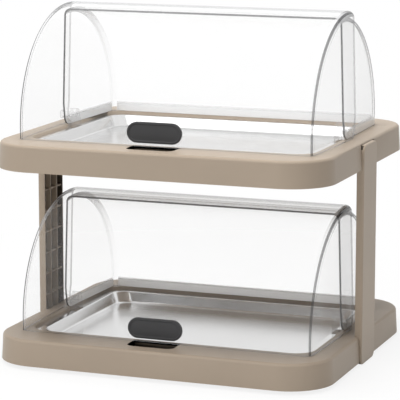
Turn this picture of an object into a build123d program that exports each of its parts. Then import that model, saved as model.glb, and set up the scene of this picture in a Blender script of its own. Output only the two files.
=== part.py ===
from build123d import *
import os

os.makedirs("parts", exist_ok=True)

# A two-tier cold buffet display. Millimetres, +Z up, the front faces -Y.
# The origin is on the table under the middle of the base.

# Tier shells
SHELL_WIDTH = 440.0
SHELL_DEPTH = 388.0
SHELL_HEIGHT = 33.2
SHELL_CORNER = 58.0
SHELL_DRAFT = 1.9
SHELL_WALL = 3.0
RIM_THICKNESS = 3.2
RIM_EDGE_ROUND = 4.0
TIER_PITCH = 246.0

# Opening for the tray and the ledge under it
RIM_SIDE_WIDTH = 32.0
RIM_END_WIDTH = 57.0
OPENING_CORNER = 26.0
COLLAR_WALL = 2.4
LEDGE_DROP = 4.0
LEDGE_WIDTH = 11.0
LEDGE_THICKNESS = 3.0

# Finger recess in the front rim, under the handle
HANDLE_OFFSET_X = -9.0
RECESS_LENGTH = 62.0
RECESS_FRONT_MARGIN = 22.0
RECESS_TO_OPENING = 4.5
RECESS_CORNER = 9.0
RECESS_SKIRT = 11.0
RECESS_WALL = 2.0

# Steel tray
TRAY_GAP = 0.5
TRAY_SHEET = 0.8
TRAY_FLANGE = 12.0
TRAY_DEPTH = 14.0
TRAY_SLOPE_INSET = 6.0
TRAY_FLOOR_ROUND = 3.0
FLANGE_NOTCH_GAP = 1.0

# Bottom pan, its screws and the cooling packs
PAN_RECESS = 1.0
PAN_THICKNESS = 2.5
PAN_GAP = 0.4
PAN_WALL = 2.0
PAN_WALL_GAP = 0.4
PACK_GAP = 4.0
PACK_THICKNESS = 10.5
PACK_CORNER = 14.0
PACK_EDGE_ROUND = 3.0
PACK_CAP_RADIUS = 9.0
PACK_CAP_SUNK = 1.5
BOSS_RADIUS = 5.0
SIDE_SCREW_Y = 112.0
END_SCREW_X = 118.0
PAN_SCREW_RADIUS = 1.6
PAN_SCREW_LENGTH = 14.0
PAN_SCREW_HEAD_RADIUS = 3.6
PAN_SCREW_HEAD = 2.0
SCREW_CLEARANCE = 0.1
CROSS_SLOT_LENGTH_SHARE = 1.3
CROSS_SLOT_WIDTH = 0.8
CROSS_SLOT_DEPTH = 0.9

# Covers: two nested quarter drums that turn about one axis along X
PIVOT_ABOVE_RIM = 12.5
COVER_BEYOND_OPENING_Y = 11.0
COVER_BEYOND_OPENING_X = 10.4
COVER_STEP = 6.2
COVER_WALL = 2.4
COVER_TAPER = 4.4
COVER_CORNER = 9.0
COVER_OVERLAP = 15.5
COVER_HEEL_HEIGHT = 16.0
COVER_FOOT_GAP = 0.3
HUB_RADIUS = 8.0
HUB_SIDE_GAP = 0.4

# Pivot brackets and pins
BRACKET_THICKNESS = 9.0
BRACKET_FROM_OPENING = 1.5
BRACKET_FOOT = 24.0
BRACKET_HEAD_RADIUS = 8.5
PEG_RADIUS = 2.0
PEG_SPACING = 15.0
PIN_RADIUS = 3.0
PIN_CLEARANCE = 0.05
PIN_HEAD_RADIUS = 5.6
PIN_HEAD = 1.8
PIN_HEAD_GAP = 0.3
PIN_END_MARGIN = 1.0

# Handle on each front cover
HANDLE_LENGTH = 72.0
HANDLE_HEIGHT = 26.0
HANDLE_THICKNESS = 3.6
HANDLE_LIP = 2.6
HANDLE_DISH = 1.0
HANDLE_ABOVE_PIVOT = 5.5
HANDLE_SEAT_GAP = 0.1
BACKING_MARGIN = 4.0
BACKING_THICKNESS = 2.1
HANDLE_SCREW_RADIUS = 1.5
HANDLE_SCREW_SPACING = 40.0
HANDLE_SCREW_HEAD_RADIUS = 2.8
HANDLE_SCREW_HEAD = 1.2
HANDLE_SCREW_BITE = 2.2

# Side posts
POST_WIDTH = 58.0
POST_LET_IN = 7.0
POST_THICKNESS = 9.4
POST_SKIN = 2.3
POST_CORNER = 10.0
POST_EDGE_ROUND = 2.2
POST_FLOOR_GAP = 0.8
POST_TOP_DROP = 2.6
POST_RIB = 1.6
POST_RIB_Y = 9.5
POST_RIB_PITCH = 30.0
POST_SEAT_GAP = 0.2
POCKET_GAP = 0.6
POCKET_WALL = 2.3
POST_BOSS_RADIUS = 4.0
POST_BOSS_Y = 19.0
POST_SCREW_LOW = 11.0
POST_SCREW_RISE = 13.0
POST_SCREW_RADIUS = 1.4
POST_SCREW_HEAD_RADIUS = 3.0
POST_SCREW_HEAD = 2.0
POST_SCREW_BITE = 4.5

# Rubber feet
FOOT_LIFT = 5.0
FOOT_RADIUS = 9.0
FOOT_INSET_X = 60.0
FOOT_INSET_Y = 44.0
FOOT_EDGE_ROUND = 1.2

# Worked out from the sizes above
HALF_X = SHELL_WIDTH / 2
HALF_Y = SHELL_DEPTH / 2
OPENING_HALF_X = HALF_X - RIM_SIDE_WIDTH
OPENING_HALF_Y = HALF_Y - RIM_END_WIDTH
FRONT_COVER_RADIUS = OPENING_HALF_Y + COVER_BEYOND_OPENING_Y
FRONT_COVER_HALF_WIDTH = OPENING_HALF_X + COVER_BEYOND_OPENING_X
REAR_COVER_RADIUS = FRONT_COVER_RADIUS - COVER_STEP
REAR_COVER_HALF_WIDTH = FRONT_COVER_HALF_WIDTH - COVER_STEP
TRAY_HALF_X = OPENING_HALF_X - TRAY_GAP
TRAY_HALF_Y = OPENING_HALF_Y - TRAY_GAP
WELL_HALF_X = TRAY_HALF_X - TRAY_FLANGE
WELL_HALF_Y = TRAY_HALF_Y - TRAY_FLANGE
WELL_CORNER = OPENING_CORNER - TRAY_FLANGE / 2
BRACKET_OUTER_X = OPENING_HALF_X - BRACKET_FROM_OPENING
BRACKET_INNER_X = BRACKET_OUTER_X - BRACKET_THICKNESS
LEDGE_HALF_X = OPENING_HALF_X - LEDGE_WIDTH
LEDGE_HALF_Y = OPENING_HALF_Y - LEDGE_WIDTH
LEDGE_CORNER = OPENING_CORNER - LEDGE_WIDTH / 2
RECESS_FRONT_Y = -HALF_Y + RECESS_FRONT_MARGIN
RECESS_BACK_Y = -OPENING_HALF_Y - RECESS_TO_OPENING
POST_INNER_X = HALF_X - POST_LET_IN
POST_OUTER_X = POST_INNER_X + POST_THICKNESS
POCKET_FLOOR_X = POST_INNER_X - POST_SEAT_GAP
TIERS = {"lower": FOOT_LIFT, "upper": FOOT_LIFT + TIER_PITCH}
SIDES = {"left": -1, "right": 1}
POST_TOP = TIERS["upper"] + SHELL_HEIGHT - POST_TOP_DROP
LONG_CUT = 2 * (SHELL_WIDTH + SHELL_DEPTH)


def save(shape, node):
    """Write one sub-part to its own STEP file."""
    export_step(shape, f"parts/{node}.step")


def slab(half_x, half_y, corner, low, high):
    """A plate with rounded corners between two heights."""
    outline = RectangleRounded(2 * half_x, 2 * half_y, corner)
    return extrude(Plane.XY.offset(low) * outline, high - low)


def block(x, y, z):
    """A plain box between three pairs of limits."""
    centre = ((x[0] + x[1]) / 2, (y[0] + y[1]) / 2, (z[0] + z[1]) / 2)
    return Pos(*centre) * Box(x[1] - x[0], y[1] - y[0], z[1] - z[0])


def rod_x(radius, x, y, z):
    """A round bar along X between two X limits."""
    middle = Pos((x[0] + x[1]) / 2, y, z)
    return middle * Rot(0, 90, 0) * Cylinder(radius, x[1] - x[0])


def rod_y(radius, x, y, z):
    """A round bar along Y between two Y limits."""
    middle = Pos(x, (y[0] + y[1]) / 2, z)
    return middle * Rot(90, 0, 0) * Cylinder(radius, y[1] - y[0])


def rod_z(radius, x, y, z):
    """A round bar along Z between two Z limits."""
    return Pos(x, y, (z[0] + z[1]) / 2) * Cylinder(radius, z[1] - z[0])


def rim_top(base):
    """Height of a tier's rim above the table."""
    return base + SHELL_HEIGHT


def ledge_top(base):
    """Height of the ledge that carries the tray and the brackets."""
    return rim_top(base) - LEDGE_DROP


def pivot_height(base):
    """Height of the covers' turning axis."""
    return rim_top(base) + PIVOT_ABOVE_RIM


def pan_top(base):
    """Height of the pan floor that the cooling packs lie on."""
    return base + PAN_RECESS + PAN_THICKNESS


def pan_screw_places():
    """X and Y of the screws that hold the pan under the shell."""
    side_x = (OPENING_HALF_X + COLLAR_WALL + POCKET_FLOOR_X - POCKET_WALL) / 2
    end_y = (OPENING_HALF_Y + COLLAR_WALL + HALF_Y - SHELL_WALL) / 2
    sides = [(i * side_x, j * SIDE_SCREW_Y) for i in (-1, 1) for j in (-1, 1)]
    ends = [(i * END_SCREW_X, j * end_y) for i in (-1, 1) for j in (-1, 1)]
    return sides + ends


def post_screw_places(base):
    """Y and Z of the screws that hold one post to one tier."""
    heights = (base + POST_SCREW_LOW, base + POST_SCREW_LOW + POST_SCREW_RISE)
    return [(j * POST_BOSS_Y, z) for j in (-1, 1) for z in heights]


def outer_hull(base):
    """The solid outside form of a tier, drafted and rounded at the top."""
    top = rim_top(base)
    low = Plane.XY.offset(base) * RectangleRounded(SHELL_WIDTH, SHELL_DEPTH, SHELL_CORNER)
    high_outline = RectangleRounded(
        SHELL_WIDTH - 2 * SHELL_DRAFT, SHELL_DEPTH - 2 * SHELL_DRAFT, SHELL_CORNER - SHELL_DRAFT
    )
    hull = loft([low, Plane.XY.offset(top) * high_outline])
    return fillet(hull.edges().group_by(Axis.Z)[-1], RIM_EDGE_ROUND)


def recess_block(base, margin, low, high):
    """The finger recess as a solid, grown by a margin on its sides and front."""
    x = (HANDLE_OFFSET_X - RECESS_LENGTH / 2 - margin, HANDLE_OFFSET_X + RECESS_LENGTH / 2 + margin)
    body = block(x, (RECESS_FRONT_Y - margin, RECESS_BACK_Y), (low, high))
    front = body.edges().filter_by(Axis.Z).sort_by(Axis.Y)[:2]
    return fillet(front, RECESS_CORNER + margin)


def pocket_block(side, margin, low, high, outer_x=HALF_X - SHELL_DRAFT):
    """The space that a post fills in one side of a tier, grown by a margin."""
    reach = POST_WIDTH / 2 + POCKET_GAP + margin
    near = POCKET_FLOOR_X - margin
    return block(sorted((side * near, side * outer_x)), (-reach, reach), (low, high))


def make_base_shell(base, closed_over_posts):
    """One tier's casing: rim, skirt, tray ledge, post pockets and screw bosses."""
    top = rim_top(base)
    under_rim = top - RIM_THICKNESS
    hull = outer_hull(base)
    inner_x = HALF_X - SHELL_WALL
    inner_y = HALF_Y - SHELL_WALL
    hollow = slab(inner_x, inner_y, SHELL_CORNER - SHELL_WALL, base, under_rim)
    shell = hull - hollow
    ledge_low = ledge_top(base) - LEDGE_THICKNESS
    corner = OPENING_CORNER + COLLAR_WALL
    collar = slab(OPENING_HALF_X + COLLAR_WALL, OPENING_HALF_Y + COLLAR_WALL, corner, ledge_low, top)
    shell += collar
    for side in SIDES.values():
        shell += hull & pocket_block(side, POCKET_WALL, base, under_rim)
    shell += recess_block(base, RECESS_WALL, top - RECESS_SKIRT, under_rim)
    for x, y in pan_screw_places():
        shell += rod_z(BOSS_RADIUS, x, y, (pan_top(base), under_rim))
        hole_high = base + PAN_RECESS + PAN_SCREW_LENGTH
        shell -= rod_z(PAN_SCREW_RADIUS + SCREW_CLEARANCE, x, y, (base, hole_high))
    shell -= slab(OPENING_HALF_X, OPENING_HALF_Y, OPENING_CORNER, ledge_top(base), top)
    shell -= slab(LEDGE_HALF_X, LEDGE_HALF_Y, LEDGE_CORNER, base, top)
    shell -= recess_block(base, 0, base + PAN_RECESS + PAN_THICKNESS, top)
    pocket_high = POST_TOP + POCKET_GAP if closed_over_posts else top
    for side in SIDES.values():
        shell -= pocket_block(side, 0, base, pocket_high, HALF_X)
        for y, z in post_screw_places(base):
            x = sorted((side * (POCKET_FLOOR_X - POCKET_WALL), side * POCKET_FLOOR_X))
            shell -= rod_x(POST_SCREW_RADIUS + SCREW_CLEARANCE, x, y, z)
        for i in (-1, 1):
            x = side * (BRACKET_INNER_X + BRACKET_OUTER_X) / 2
            z = (ledge_low, ledge_top(base))
            shell -= rod_z(PEG_RADIUS + SCREW_CLEARANCE, x, i * PEG_SPACING / 2, z)
    return shell


def make_base_pan(base):
    """The plate under a tier, with a low wall around the cooling packs."""
    low = base + PAN_RECESS
    top = pan_top(base)
    inset = SHELL_WALL + PAN_GAP
    pan = slab(HALF_X - inset, HALF_Y - inset, SHELL_CORNER - inset, low, top)
    wall_x = LEDGE_HALF_X
    wall_y = LEDGE_HALF_Y
    wall_high = ledge_top(base) - LEDGE_THICKNESS - PAN_WALL_GAP
    ring = slab(wall_x, wall_y, LEDGE_CORNER, top, wall_high)
    ring -= slab(wall_x - PAN_WALL, wall_y - PAN_WALL, LEDGE_CORNER - PAN_WALL, top, wall_high)
    pan += ring
    for side in SIDES.values():
        pan -= pocket_block(side, POCKET_WALL + PAN_GAP, low, top, HALF_X)
    for x, y in pan_screw_places():
        pan -= rod_z(PAN_SCREW_RADIUS + SCREW_CLEARANCE, x, y, (low, top))
    return pan


def cross_slot(head_radius, surface, depth_down=True):
    """A cross cut for the driver, centred on the Z axis at a screw head's face."""
    reach = head_radius * CROSS_SLOT_LENGTH_SHARE / 2
    half = CROSS_SLOT_WIDTH / 2
    z = sorted((surface, surface - CROSS_SLOT_DEPTH if depth_down else surface + CROSS_SLOT_DEPTH))
    return block((-reach, reach), (-half, half), z) + block((-half, half), (-reach, reach), z)


def make_pan_screws(base):
    """The screws under one tier, as separate solids in one group."""
    low = base + PAN_RECESS
    screw = rod_z(PAN_SCREW_HEAD_RADIUS, 0, 0, (low - PAN_SCREW_HEAD, low))
    screw += rod_z(PAN_SCREW_RADIUS, 0, 0, (low, low + PAN_SCREW_LENGTH - PAN_SCREW_HEAD))
    screw -= cross_slot(PAN_SCREW_HEAD_RADIUS, low - PAN_SCREW_HEAD, depth_down=False)
    return Compound([Pos(x, y, 0) * screw for x, y in pan_screw_places()])


def make_cooling_pack(base, side):
    """A flat cooling pack with a sunk filler cap, lying on the pan."""
    inner_x = LEDGE_HALF_X - PAN_WALL - PACK_GAP
    half_x = (inner_x - PACK_GAP / 2) / 2
    half_y = LEDGE_HALF_Y - PAN_WALL - PACK_GAP
    low = pan_top(base)
    top = low + PACK_THICKNESS
    pack = slab(half_x, half_y, PACK_CORNER, low, top)
    levels = pack.edges().group_by(Axis.Z)
    pack = fillet(levels[0] + levels[-1], PACK_EDGE_ROUND)
    cap_y = half_y - 2 * PACK_CAP_RADIUS
    pack -= rod_z(PACK_CAP_RADIUS, 0, cap_y, (top - PACK_CAP_SUNK, top))
    pack += rod_z(PACK_CAP_RADIUS - PACK_CAP_SUNK, 0, cap_y, (top - PACK_CAP_SUNK, top))
    return Pos(side * (half_x + PACK_GAP / 2), 0, 0) * pack


def well_solid(inset, low, high, bottom_round):
    """The tray's well as a solid that narrows towards its floor."""
    upper = RectangleRounded(2 * (WELL_HALF_X - inset), 2 * (WELL_HALF_Y - inset), WELL_CORNER - inset)
    shrink = inset + TRAY_SLOPE_INSET
    lower = RectangleRounded(2 * (WELL_HALF_X - shrink), 2 * (WELL_HALF_Y - shrink), WELL_CORNER - inset)
    well = loft([Plane.XY.offset(low) * lower, Plane.XY.offset(high) * upper])
    return fillet(well.edges().group_by(Axis.Z)[0], bottom_round)


def make_steel_tray(base):
    """The pressed tray: a flat flange on the ledge and a shallow well."""
    seat = ledge_top(base)
    flange_top = seat + TRAY_SHEET
    floor_top = flange_top - TRAY_DEPTH
    corner = OPENING_CORNER - TRAY_GAP
    tray = slab(TRAY_HALF_X, TRAY_HALF_Y, corner, seat, flange_top)
    tray += well_solid(0, floor_top - TRAY_SHEET, seat, TRAY_FLOOR_ROUND + TRAY_SHEET)
    tray -= well_solid(TRAY_SHEET, floor_top, flange_top, TRAY_FLOOR_ROUND)
    reach = BRACKET_FOOT / 2 + FLANGE_NOTCH_GAP
    for side in SIDES.values():
        x = sorted((side * (BRACKET_INNER_X - FLANGE_NOTCH_GAP), side * OPENING_HALF_X))
        tray -= block(x, (-reach, reach), (seat, flange_top))
    return tray


def drum(half_width, radius, corner):
    """A drum about the X axis whose ends slope in towards its round wall."""
    rim = half_width - COVER_TAPER
    outline = Polyline((-half_width, 0), (-rim, radius), (rim, radius), (half_width, 0), close=True)
    face = Plane.XZ * make_face(outline)
    corners = face.vertices().sort_by(Axis.Z)[-2:]
    return revolve(fillet(corners, corner), Axis.X, 360)


def cover_region(direction):
    """The part of the drum that one cover keeps: -1 for the front, 1 for the rear."""
    foot = PIVOT_ABOVE_RIM - COVER_FOOT_GAP
    far = 2 * FRONT_COVER_RADIUS
    edge = -direction * COVER_OVERLAP
    with BuildSketch(Plane.YZ) as region:
        with BuildLine():
            Line((direction * far, -foot), (0, -foot))
            RadiusArc((0, -foot), (-direction * foot, 0), direction * foot)
            Line((-direction * foot, 0), (edge, COVER_HEEL_HEIGHT))
            Line((edge, COVER_HEEL_HEIGHT), (edge, far))
            Line((edge, far), (direction * far, far))
            Line((direction * far, far), (direction * far, -foot))
        make_face()
    return extrude(region.sketch, LONG_CUT, both=True)


def make_cover(base, direction, half_width, radius, inner_limit):
    """A clear quarter-drum cover with hubs for the pivot pins."""
    outer = drum(half_width, radius, COVER_CORNER)
    inner = drum(half_width - COVER_WALL, radius - COVER_WALL, COVER_CORNER - COVER_WALL)
    cover = (outer - inner) & cover_region(direction)
    for side in SIDES.values():
        wall = half_width - COVER_WALL / 2
        cover += rod_x(HUB_RADIUS, sorted((side * (inner_limit + HUB_SIDE_GAP), side * wall)), 0, 0)
        hole = PIN_RADIUS + PIN_CLEARANCE
        cover -= rod_x(hole, sorted((side * inner_limit, side * (half_width + COVER_WALL))), 0, 0)
    return Pos(0, 0, pivot_height(base)) * cover


def handle_screw_places():
    """X of the screws that hold the handle."""
    return [HANDLE_OFFSET_X + i * HANDLE_SCREW_SPACING / 2 for i in (-1, 1)]


def make_front_cover(base):
    """The outer cover, which carries the handle and rolls back over the rear one."""
    cover = make_cover(base, -1, FRONT_COVER_HALF_WIDTH, FRONT_COVER_RADIUS, REAR_COVER_HALF_WIDTH)
    z = pivot_height(base) + HANDLE_ABOVE_PIVOT
    y = (-FRONT_COVER_RADIUS - COVER_WALL, -FRONT_COVER_RADIUS + 2 * COVER_WALL)
    for x in handle_screw_places():
        cover -= rod_y(HANDLE_SCREW_RADIUS + SCREW_CLEARANCE, x, y, z)
    return cover


def make_rear_cover(base):
    """The inner cover, which rolls forward under the front one."""
    return make_cover(base, 1, REAR_COVER_HALF_WIDTH, REAR_COVER_RADIUS, BRACKET_OUTER_X)


def ring_band(inner_radius, outer_radius):
    """A round band about the X axis."""
    band = rod_x(outer_radius, (-HALF_X, HALF_X), 0, 0)
    return band - rod_x(inner_radius, (-HALF_X, HALF_X), 0, 0)


def stadium(length, height, y):
    """A long rounded pad on the front, centred on the handle's place."""
    centre = (HANDLE_OFFSET_X, y[1], HANDLE_ABOVE_PIVOT)
    facing = Plane(origin=centre, x_dir=(1, 0, 0), z_dir=(0, -1, 0))
    return extrude(facing * SlotOverall(length, height), y[1] - y[0])


def make_handle_plate(base):
    """The dark finger plate, curved to the cover, with a raised border."""
    inner = FRONT_COVER_RADIUS + HANDLE_SEAT_GAP
    outer = inner + HANDLE_THICKNESS
    reach = (-outer - HANDLE_THICKNESS, -REAR_COVER_RADIUS)
    plate = stadium(HANDLE_LENGTH, HANDLE_HEIGHT, reach) & ring_band(inner, outer)
    dish = stadium(HANDLE_LENGTH - 2 * HANDLE_LIP, HANDLE_HEIGHT - 2 * HANDLE_LIP, reach)
    plate -= dish & ring_band(outer - HANDLE_DISH, outer + HANDLE_DISH)
    for x in handle_screw_places():
        y = (-inner - HANDLE_SCREW_BITE, -inner + COVER_WALL)
        plate -= rod_y(HANDLE_SCREW_RADIUS + SCREW_CLEARANCE, x, y, HANDLE_ABOVE_PIVOT)
    return Pos(0, 0, pivot_height(base)) * plate


def make_handle_backing(base):
    """The strip inside the cover that the handle's screws pull on."""
    outer = FRONT_COVER_RADIUS - COVER_WALL - HANDLE_SEAT_GAP
    inner = outer - BACKING_THICKNESS
    reach = (-outer - BACKING_THICKNESS, -inner + COVER_CORNER)
    length = HANDLE_LENGTH - 2 * BACKING_MARGIN
    strip = stadium(length, HANDLE_HEIGHT - 2 * BACKING_MARGIN, reach) & ring_band(inner, outer)
    for x in handle_screw_places():
        strip -= rod_y(HANDLE_SCREW_RADIUS + SCREW_CLEARANCE, x, reach, HANDLE_ABOVE_PIVOT)
        head_y = (-inner - HANDLE_SCREW_HEAD, reach[1])
        strip -= rod_y(HANDLE_SCREW_HEAD_RADIUS + SCREW_CLEARANCE, x, head_y, HANDLE_ABOVE_PIVOT)
    return Pos(0, 0, pivot_height(base)) * strip


def make_handle_screws(base):
    """The two handle screws, as separate solids in one group."""
    inner = FRONT_COVER_RADIUS - COVER_WALL - HANDLE_SEAT_GAP - BACKING_THICKNESS
    seat = -inner - HANDLE_SCREW_HEAD
    tip = -FRONT_COVER_RADIUS - HANDLE_SCREW_BITE + SCREW_CLEARANCE
    z = pivot_height(base) + HANDLE_ABOVE_PIVOT
    screws = []
    for x in handle_screw_places():
        screw = rod_y(HANDLE_SCREW_HEAD_RADIUS, x, (seat, seat + HANDLE_SCREW_HEAD), z)
        screws.append(screw + rod_y(HANDLE_SCREW_RADIUS, x, (tip, seat), z))
    return Compound(screws)


def make_pivot_bracket(base, side):
    """A clear bracket on the ledge that holds one pivot pin."""
    seat = ledge_top(base)
    x = sorted((side * BRACKET_INNER_X, side * BRACKET_OUTER_X))
    middle = (x[0] + x[1]) / 2
    axis_z = pivot_height(base)
    foot = (-BRACKET_FOOT / 2, seat)
    with BuildSketch(Plane.YZ.offset(x[0])) as outline:
        with BuildLine():
            shoulder = BRACKET_HEAD_RADIUS
            Polyline(
                foot, (BRACKET_FOOT / 2, seat), (BRACKET_FOOT / 2, rim_top(base)), (shoulder, axis_z)
            )
            ThreePointArc((shoulder, axis_z), (0, axis_z + shoulder), (-shoulder, axis_z))
            Polyline((-shoulder, axis_z), (-BRACKET_FOOT / 2, rim_top(base)), foot)
        make_face()
    bracket = extrude(outline.sketch, BRACKET_THICKNESS)
    for i in (-1, 1):
        z = (seat - LEDGE_THICKNESS, seat)
        bracket += rod_z(PEG_RADIUS, middle, i * PEG_SPACING / 2, z)
    return bracket - rod_x(PIN_RADIUS + PIN_CLEARANCE, x, 0, axis_z)


def make_pivot_pin(base, side):
    """A headed pin from the bracket out through both covers."""
    start = side * (BRACKET_INNER_X + PIN_END_MARGIN)
    face = FRONT_COVER_HALF_WIDTH + PIN_HEAD_GAP
    z = pivot_height(base)
    pin = rod_x(PIN_RADIUS, sorted((start, side * face)), 0, z)
    return pin + rod_x(PIN_HEAD_RADIUS, sorted((side * face, side * (face + PIN_HEAD))), 0, z)


def make_post(side):
    """A side post: a rounded channel, open inwards, with stiffening ribs."""
    low = POST_FLOOR_GAP
    height = POST_TOP - low
    middle_z = (POST_TOP + low) / 2
    facing = Plane(origin=(POST_INNER_X, 0, middle_z), x_dir=(0, 1, 0), z_dir=(1, 0, 0))
    post = extrude(facing * RectangleRounded(POST_WIDTH, height, POST_CORNER), POST_THICKNESS)
    post = fillet(post.edges().group_by(Axis.X)[-1], POST_EDGE_ROUND)
    inside = RectangleRounded(
        POST_WIDTH - 2 * POST_SKIN, height - 2 * POST_SKIN, POST_CORNER - POST_SKIN
    )
    post -= extrude(facing * inside, POST_THICKNESS - POST_SKIN)
    x = (POST_INNER_X, POST_OUTER_X - POST_SKIN / 2)
    for j in (-1, 1):
        y = (j * POST_RIB_Y - POST_RIB / 2, j * POST_RIB_Y + POST_RIB / 2)
        post += block(x, y, (low + POST_SKIN / 2, POST_TOP - POST_SKIN / 2))
    count = int(height / POST_RIB_PITCH)
    for k in range(1, count + 1):
        z = low + k * height / (count + 1)
        y = (-POST_WIDTH / 2 + POST_SKIN / 2, POST_WIDTH / 2 - POST_SKIN / 2)
        post += block((x[0] + POST_RIB, x[1]), y, (z - POST_RIB / 2, z + POST_RIB / 2))
    for base in TIERS.values():
        for y, z in post_screw_places(base):
            post += rod_x(POST_BOSS_RADIUS, x, y, z)
            hole = (POST_INNER_X, POST_INNER_X + POST_SCREW_BITE + SCREW_CLEARANCE)
            post -= rod_x(POST_SCREW_RADIUS + SCREW_CLEARANCE, hole, y, z)
    return post if side > 0 else mirror(post, Plane.YZ)


def make_post_screws(side):
    """The screws of one post, driven from inside both shells, in one group."""
    seat = POCKET_FLOOR_X - POCKET_WALL
    screws = []
    for base in TIERS.values():
        for y, z in post_screw_places(base):
            head = rod_x(POST_SCREW_HEAD_RADIUS, (seat - POST_SCREW_HEAD, seat), y, z)
            screws.append(head + rod_x(POST_SCREW_RADIUS, (seat, POST_INNER_X + POST_SCREW_BITE), y, z))
    group = Compound(screws)
    return group if side > 0 else mirror(group, Plane.YZ)


def make_foot(x_side, y_side):
    """A rubber foot under the lower pan."""
    x = x_side * (HALF_X - FOOT_INSET_X)
    y = y_side * (HALF_Y - FOOT_INSET_Y)
    foot = rod_z(FOOT_RADIUS, x, y, (0, FOOT_LIFT + PAN_RECESS))
    return fillet(foot.edges().group_by(Axis.Z)[0], FOOT_EDGE_ROUND)


def write_tier(tier, base):
    """Write every sub-part of one tier."""
    save(make_base_shell(base, closed_over_posts=tier == "upper"), f"{tier}_base_shell")
    save(make_base_pan(base), f"{tier}_base_pan")
    save(make_pan_screws(base), f"{tier}_pan_screws")
    save(make_steel_tray(base), f"{tier}_steel_tray")
    save(make_front_cover(base), f"{tier}_front_cover")
    save(make_rear_cover(base), f"{tier}_rear_cover")
    save(make_handle_plate(base), f"{tier}_handle_plate")
    save(make_handle_backing(base), f"{tier}_handle_backing")
    save(make_handle_screws(base), f"{tier}_handle_screws")
    for name, side in SIDES.items():
        save(make_cooling_pack(base, side), f"{tier}_cooling_pack_{name}")
        save(make_pivot_bracket(base, side), f"{tier}_pivot_bracket_{name}")
        save(make_pivot_pin(base, side), f"{tier}_pivot_pin_{name}")


for tier_name, tier_base in TIERS.items():
    write_tier(tier_name, tier_base)

for side_name, side_sign in SIDES.items():
    save(make_post(side_sign), f"{side_name}_post")
    save(make_post_screws(side_sign), f"{side_name}_post_screws")
    for end_name, end_sign in (("front", -1), ("rear", 1)):
        save(make_foot(side_sign, end_sign), f"{end_name}_{side_name}_foot")
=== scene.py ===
"""The dressed model of a two-tier cold buffet display with clear roll-top covers.

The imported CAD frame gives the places. Lengths are in metres and MM is one millimetre,
+Z is up and the front, with the handles, faces -Y.
"""

import logging
import math
from dataclasses import dataclass
from enum import Enum
from typing import Callable, Optional, Sequence, Union

import bmesh
import bpy
from bpy.types import ID, Material, Mesh, Node, NodeSocket, NodeTree, Object
from mathutils import Matrix, Vector


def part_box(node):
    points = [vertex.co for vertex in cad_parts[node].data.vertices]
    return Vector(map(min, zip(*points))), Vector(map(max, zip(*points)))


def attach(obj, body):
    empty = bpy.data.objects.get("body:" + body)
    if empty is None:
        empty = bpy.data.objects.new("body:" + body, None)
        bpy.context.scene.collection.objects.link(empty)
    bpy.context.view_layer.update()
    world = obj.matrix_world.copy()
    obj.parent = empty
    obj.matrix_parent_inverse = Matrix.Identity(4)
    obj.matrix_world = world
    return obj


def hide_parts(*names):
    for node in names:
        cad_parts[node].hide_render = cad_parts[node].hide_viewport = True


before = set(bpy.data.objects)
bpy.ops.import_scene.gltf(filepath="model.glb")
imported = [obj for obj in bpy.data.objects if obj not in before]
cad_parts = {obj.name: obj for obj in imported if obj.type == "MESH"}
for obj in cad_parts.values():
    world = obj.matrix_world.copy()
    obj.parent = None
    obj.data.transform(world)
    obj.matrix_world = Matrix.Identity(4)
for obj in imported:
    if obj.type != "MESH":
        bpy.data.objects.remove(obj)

MM = 0.001
LOG = logging.getLogger("buffet_display")
Point = tuple[float, float, float]
Flat = tuple[float, float]
Key = Union[int, str]
Inputs = dict[Key, object]
WHITE = (1.0, 1.0, 1.0)
NOISE_RANGE = (0.3, 0.7)


class CoverSide(Enum):
    """Which way a roll-top cover faces; the value is its direction along Y."""

    FRONT = -1
    REAR = 1


class Tier(Enum):
    """The two tiers; the value is the name that their CAD nodes start with."""

    LOWER = "lower"
    UPPER = "upper"

    @property
    def rim(self) -> float:
        """Height of the tier's rim."""
        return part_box(f"{self.value}_base_shell")[1].z

    @property
    def axis(self) -> float:
        """Height of the axis that the tier's covers turn about."""
        low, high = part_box(f"{self.value}_pivot_pin_left")
        return (low.z + high.z) / 2

    def node(self, part: str) -> str:
        """Name of one of the tier's CAD nodes."""
        return f"{self.value}_{part}"


class Side(Enum):
    """Left and right; the value is the side's sign along X."""

    LEFT = -1
    RIGHT = 1

    @property
    def word(self) -> str:
        """The side's name in node names."""
        return self.name.lower()


# Node trees written as code


def operator(operation: str, swapped: bool = False) -> Callable[["Value", "Term"], "Value"]:
    """A method that adds one Math node.

    Args:
        operation: What the node reckons.
        swapped: Whether the value is the second operand.

    Returns:
        The method for an operator of Value.
    """

    def reckon(value: "Value", other: "Term") -> "Value":
        left, right = (other, value) if swapped else (value, other)
        return value.nodes.value("ShaderNodeMath", {0: left, 1: right}, operation=operation)

    return reckon


@dataclass(frozen=True)
class Value:
    """A number in a node tree; its operators add Math nodes.

    Args:
        nodes: The tree that the value belongs to.
        socket: The output socket that carries it.
    """

    nodes: "Nodes"
    socket: NodeSocket

    __add__ = operator("ADD")
    __radd__ = operator("ADD", swapped=True)
    __sub__ = operator("SUBTRACT")
    __rsub__ = operator("SUBTRACT", swapped=True)
    __mul__ = operator("MULTIPLY")
    __rmul__ = operator("MULTIPLY", swapped=True)
    __pow__ = operator("POWER")


Term = Union[Value, float]


def opaque(colour: object) -> object:
    """Give a plain colour full alpha and leave anything else as it is."""
    return (*colour, 1.0) if isinstance(colour, tuple) and len(colour) == 3 else colour


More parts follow.
